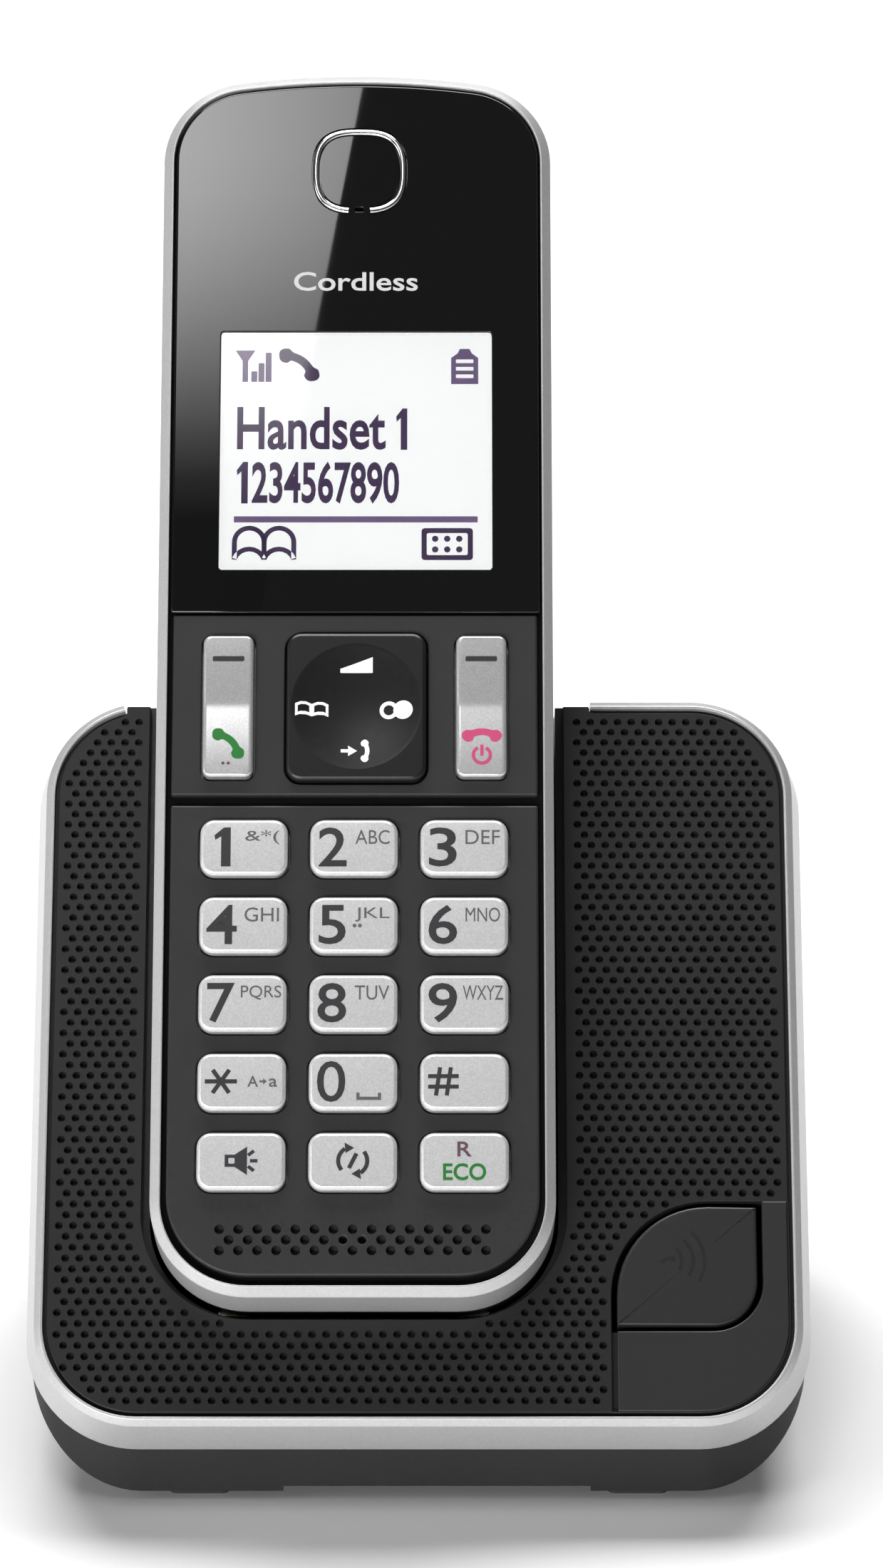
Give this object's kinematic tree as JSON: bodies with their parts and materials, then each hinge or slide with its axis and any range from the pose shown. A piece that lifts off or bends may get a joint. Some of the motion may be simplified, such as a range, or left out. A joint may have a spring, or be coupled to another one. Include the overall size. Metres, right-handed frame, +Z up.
{
  "type": "cordless telephone",
  "caption": "Slim cordless telephone handset with lit display and silver keys, standing in a dark dotted desk charging base with a bright silver rim.",
  "frame": {"origin": "middle of the whole object's footprint box, on the table the feet stand on", "axes": "+X to the phone's right as seen from the front, +Y to the back, +Z up"},
  "size_m": [0.096, 0.1246, 0.1474],
  "materials": {
    "case_black": "fine matte",
    "panel_black": "matte with moulded dimples",
    "liner_black": "satin",
    "lens_black": "polished",
    "silver_paint": "satin silver paint",
    "key_silver": "satin silver",
    "rocker_silver": "satin silver",
    "navigator_black": "soft gloss",
    "button_black": "satin",
    "clear_window": "clear",
    "display_glass": "lit display",
    "light_guide_white": "milky",
    "board_green": "solder mask",
    "rubber_grey": "matte",
    "rubber_black": "matte",
    "speaker_black": "matte",
    "steel": "bright",
    "contact_plate": "nickel plated",
    "cell_sleeve": "printed sleeve",
    "socket_black": "matte",
    "carrier_white": "natural"
  },
  "bodies": {
    "base": {"base_lower_case": "case_black", "base_rim": "silver_paint", "base_top_panel": "panel_black", "cradle_liner": "liner_black", "button_surround": "button_black", "page_switch": "board_green", "base_main_board": "board_green", "line_jack": "socket_black", "power_jack": "socket_black", "base_antenna": "steel", "base_feet": "rubber_black", "base_screws": "steel"},
    "handset": {"handset_silver_frame": "silver_paint", "handset_front_case": "case_black", "handset_back_case": "case_black", "lens_panel": "lens_black", "receiver_ring": "silver_paint", "display_window": "clear_window", "lcd_module": "display_glass", "display_light_guide": "light_guide_white", "handset_board": "board_green", "key_mat": "rubber_grey", "earpiece_speaker": "speaker_black", "microphone": "speaker_black", "ringer_speaker": "speaker_black", "battery_cells": "cell_sleeve", "battery_terminals": "contact_plate", "handset_contacts": "contact_plate", "handset_screws": "steel", "handset_antenna": "steel", "navigator_post": "carrier_white"},
    "page_button": {"page_button": "button_black"},
    "charge_contact_left": {"charge_contact_left": "contact_plate"},
    "charge_contact_right": {"charge_contact_right": "contact_plate"},
    "rocker_key_left": {"rocker_key_left": "rocker_silver"},
    "rocker_key_right": {"rocker_key_right": "rocker_silver"},
    "navigator_carrier": {"navigator_carrier": "carrier_white"},
    "navigator_key": {"navigator_key": "navigator_black"},
    "battery_cover": {"battery_cover": "case_black"},
    "key_1": {"key_1": "key_silver"},
    "key_2": {"key_2": "key_silver"},
    "key_3": {"key_3": "key_silver"},
    "key_4": {"key_4": "key_silver"},
    "key_5": {"key_5": "key_silver"},
    "key_6": {"key_6": "key_silver"},
    "key_7": {"key_7": "key_silver"},
    "key_8": {"key_8": "key_silver"},
    "key_9": {"key_9": "key_silver"},
    "key_star": {"key_star": "key_silver"},
    "key_0": {"key_0": "key_silver"},
    "key_hash": {"key_hash": "key_silver"},
    "key_speaker": {"key_speaker": "key_silver"},
    "key_redial": {"key_redial": "key_silver"},
    "key_recall": {"key_recall": "key_silver"}
  },
  "joints": [
    {"name": "handset_lift", "type": "slide", "parent": "base", "child": "handset", "axis": [0, 0.6626, 0.749], "range_m": [0, 0.1]},
    {"name": "page_button_press", "type": "slide", "parent": "base", "child": "page_button", "axis": [0, 0.7009, -0.7133], "range_m": [0, 0.0008], "stiffness_N_per_m": 1500},
    {"name": "charge_contact_left_press", "type": "slide", "parent": "base", "child": "charge_contact_left", "axis": [0, -0.6626, -0.749], "range_m": [0, 0.0008], "stiffness_N_per_m": 400},
    {"name": "charge_contact_right_press", "type": "slide", "parent": "base", "child": "charge_contact_right", "axis": [0, -0.6626, -0.749], "range_m": [0, 0.0008], "stiffness_N_per_m": 400},
    {"name": "key_1_press", "type": "slide", "parent": "handset", "child": "key_1", "axis": [0, 0.749, -0.6626], "range_m": [0, 0.0006], "stiffness_N_per_m": 1500},
    {"name": "key_2_press", "type": "slide", "parent": "handset", "child": "key_2", "axis": [0, 0.749, -0.6626], "range_m": [0, 0.0006], "stiffness_N_per_m": 1500},
    {"name": "key_3_press", "type": "slide", "parent": "handset", "child": "key_3", "axis": [0, 0.749, -0.6626], "range_m": [0, 0.0006], "stiffness_N_per_m": 1500},
    {"name": "key_4_press", "type": "slide", "parent": "handset", "child": "key_4", "axis": [0, 0.749, -0.6626], "range_m": [0, 0.0006], "stiffness_N_per_m": 1500},
    {"name": "key_5_press", "type": "slide", "parent": "handset", "child": "key_5", "axis": [0, 0.749, -0.6626], "range_m": [0, 0.0006], "stiffness_N_per_m": 1500},
    {"name": "key_6_press", "type": "slide", "parent": "handset", "child": "key_6", "axis": [0, 0.749, -0.6626], "range_m": [0, 0.0006], "stiffness_N_per_m": 1500},
    {"name": "key_7_press", "type": "slide", "parent": "handset", "child": "key_7", "axis": [0, 0.749, -0.6626], "range_m": [0, 0.0006], "stiffness_N_per_m": 1500},
    {"name": "key_8_press", "type": "slide", "parent": "handset", "child": "key_8", "axis": [0, 0.749, -0.6626], "range_m": [0, 0.0006], "stiffness_N_per_m": 1500},
    {"name": "key_9_press", "type": "slide", "parent": "handset", "child": "key_9", "axis": [0, 0.749, -0.6626], "range_m": [0, 0.0006], "stiffness_N_per_m": 1500},
    {"name": "key_star_press", "type": "slide", "parent": "handset", "child": "key_star", "axis": [0, 0.749, -0.6626], "range_m": [0, 0.0006], "stiffness_N_per_m": 1500},
    {"name": "key_0_press", "type": "slide", "parent": "handset", "child": "key_0", "axis": [0, 0.749, -0.6626], "range_m": [0, 0.0006], "stiffness_N_per_m": 1500},
    {"name": "key_hash_press", "type": "slide", "parent": "handset", "child": "key_hash", "axis": [0, 0.749, -0.6626], "range_m": [0, 0.0006], "stiffness_N_per_m": 1500},
    {"name": "key_speaker_press", "type": "slide", "parent": "handset", "child": "key_speaker", "axis": [0, 0.749, -0.6626], "range_m": [0, 0.0006], "stiffness_N_per_m": 1500},
    {"name": "key_redial_press", "type": "slide", "parent": "handset", "child": "key_redial", "axis": [0, 0.749, -0.6626], "range_m": [0, 0.0006], "stiffness_N_per_m": 1500},
    {"name": "key_recall_press", "type": "slide", "parent": "handset", "child": "key_recall", "axis": [0, 0.749, -0.6626], "range_m": [0, 0.0006], "stiffness_N_per_m": 1500},
    {"name": "rocker_key_left_rock", "type": "hinge", "parent": "handset", "child": "rocker_key_left", "pos_m": [-0.0235, -0.0086, 0.08278], "axis": [1, 0, 0], "range_deg": [-2, 2], "stiffness_Nm_per_rad": 0.2},
    {"name": "rocker_key_right_rock", "type": "hinge", "parent": "handset", "child": "rocker_key_right", "pos_m": [0.0077, -0.0086, 0.08278], "axis": [1, 0, 0], "range_deg": [-2, 2], "stiffness_Nm_per_rad": 0.2},
    {"name": "navigator_rock_up_down", "type": "hinge", "parent": "handset", "child": "navigator_carrier", "pos_m": [-0.0077, -0.00864, 0.08274], "axis": [1, 0, 0], "range_deg": [-2, 2], "stiffness_Nm_per_rad": 0.3},
    {"name": "navigator_rock_left_right", "type": "hinge", "parent": "navigator_carrier", "child": "navigator_key", "pos_m": [-0.0077, -0.00864, 0.08274], "axis": [0, 0.6626, 0.749], "range_deg": [-2, 2], "stiffness_Nm_per_rad": 0.3},
    {"name": "battery_cover_slide", "type": "slide", "parent": "handset", "child": "battery_cover", "axis": [0, -0.6626, -0.749], "range_m": [0, 0.0035]}
  ]
}
